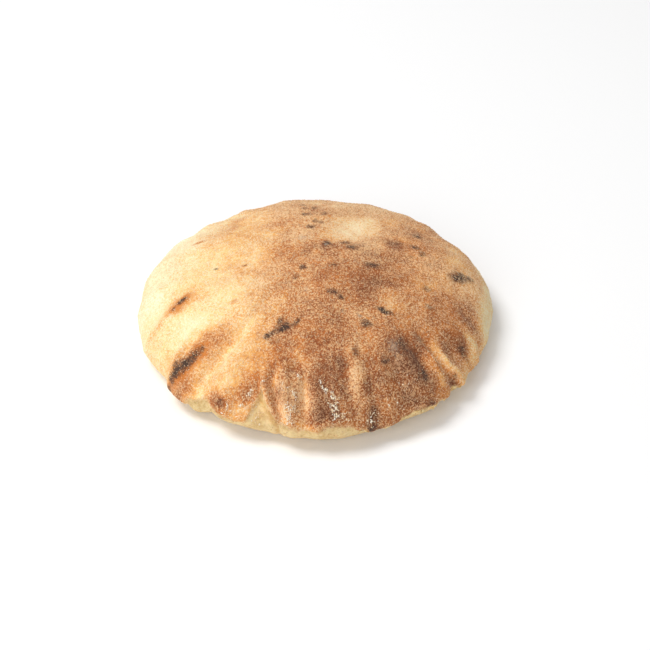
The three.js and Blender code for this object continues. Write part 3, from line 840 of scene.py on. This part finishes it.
# Flakes. Slivers of pale dry dough, scraped off the peel and baked onto the front pleats in small heaps.
# They lie nearly flat on the crust, as they fell.
# In plan, in millimetres: a heap's two ends, its spread and its number of flakes
flake_heaps = [
    ((1, -62), (2, -65), 0.5, 6), ((2, -65), (6, -66), 0.7, 14), ((6, -67), (8, -69), 0.9, 18),
    ((4.6, -69.5), (8, -70.5), 1.0, 22), ((5, -72), (8, -72.4), 0.9, 16),
    ((9, -71.6), (12, -72.6), 0.9, 14), ((-12.4, -69), (-8, -69.8), 0.9, 26),
    ((-9.2, -65), (-8.3, -67.5), 0.8, 14), ((-9.8, -71), (-11, -73), 1.3, 26),
    ((-8, -60), (-5, -61.4), 0.6, 6), ((-20.5, -60), (-20, -61), 0.6, 5),
    ((-13.3, -64), (-10, -64.6), 0.8, 8), ((19.5, -71.5), (22.4, -69), 1.4, 24),
    ((-30, -66), (-27.6, -65), 1.2, 14), ((-26.4, -63.4), (-24.4, -62.6), 1.0, 12),
    ((-34, -65), (-36, -64), 1.2, 8), ((-25, -67), (-22, -70.5), 1.6, 16),
    ((36, -58), (26, -66), 3.0, 12),
]
flake_length, flake_width, flake_thickness = (0.5, 1.5), (0.28, 0.5), (0.25, 0.4)
flake_lift, flake_tip, flake_corners = 0.2, 0.25, 6
heap_spread = 0.6
starts, ends, spreads, counts = (np.array(column, float) for column in zip(*flake_heaps))
each = np.repeat(np.arange(len(flake_heaps)), counts.astype(int))
between = draw.random((len(each), 1))
wanted = starts[each] * (1 - between) + ends[each] * between
wanted = wanted + draw.normal(size=wanted.shape) * spreads[each][:, None] * heap_spread
# They lie only on cells of the top, which lift the crust upwards
top_cells = np.flatnonzero(cell_values(skin["lift"]) > 0.02)
cell_plan = np.stack([cell_values(x), cell_values(y)], 1)[top_cells]
nearest = [top_cells[np.argmin(np.hypot(*(cell_plan - place).T))] for place in wanted]
lengths = draw.uniform(*flake_length, len(each))
flakes = bits(
    "flakes", net.reshape(-1, 3)[nearest] + flake_lift * cell_normals[nearest],
    cell_normals[nearest] + draw.normal(scale=flake_tip, size=(len(each), 3)),
    lengths, draw.uniform(*flake_width, len(each)), draw.uniform(*flake_thickness, len(each)),
    flake_corners,
)
paint(flakes.data, "shade", np.repeat(draw.random(len(each)), flake_corners + 2))

white_flake = from_screen(252, 244, 226)
tan_flake = from_screen(236, 208, 164)
dry_dough = Material("dry dough")
flake_tone = dry_dough.over(white_flake, tan_flake, dry_dough.painted("shade"))
dry_dough.surface({"Base Color": flake_tone, "Roughness": 0.8, "Specular IOR Level": 0.2})
flakes.data.materials.append(dry_dough.material)
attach(flakes, "root")

# Torn seam. Shreds of pale dough, left along the right front where the thin lip tore in the oven. They lie
# on the seam, soft and dry, and hang a little over the side.
# Bearing of each group, its number of shreds, and its spread in degrees
shred_groups = [
    (284, 5, 1.2), (291, 4, 1.0), (296, 3, 1.5), (301.5, 8, 1.6), (308, 9, 1.4), (313, 4, 1.5),
    (319, 7, 1.3), (327, 3, 1.0),
]
shred_length, shred_width, shred_thickness = (1.8, 4.2), (1.1, 2.2), (0.6, 1.1)
shred_drop, shred_lift, shred_tip, shred_corners = 1.0, 0.25, 0.35, 6
rim_mm_per_degree = 1.3
shred_bearings = np.concatenate([draw.normal(at, spread, count) for at, count, spread in shred_groups])
shred_count = len(shred_bearings)
cell_bearing, cell_above = cell_values(skin["bearing"]), cell_values(above_seam)
torn = [
    np.argmin(np.hypot((cell_bearing - at) * rim_mm_per_degree, cell_above + shred_drop))
    for at in shred_bearings
]
shreds = bits(
    "shreds", net.reshape(-1, 3)[torn] + shred_lift * cell_normals[torn],
    cell_normals[torn] + draw.normal(scale=shred_tip, size=(shred_count, 3)),
    draw.uniform(*shred_length, shred_count), draw.uniform(*shred_width, shred_count),
    draw.uniform(*shred_thickness, shred_count), shred_corners,
)

soft_dough = Material("soft dough")
pale_shred = from_screen(244, 222, 168)
gold_shred = from_screen(226, 182, 110)
shred_mottle = soft_dough.ramped(soft_dough.cloudy(1.2 * MM), 0.4, 0.7)
shred_tone = soft_dough.over(pale_shred, gold_shred, shred_mottle)
soft_dough.surface({"Base Color": shred_tone, "Roughness": 0.75, "Specular IOR Level": 0.2})
shreds.data.materials.append(soft_dough.material)
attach(shreds, "root")
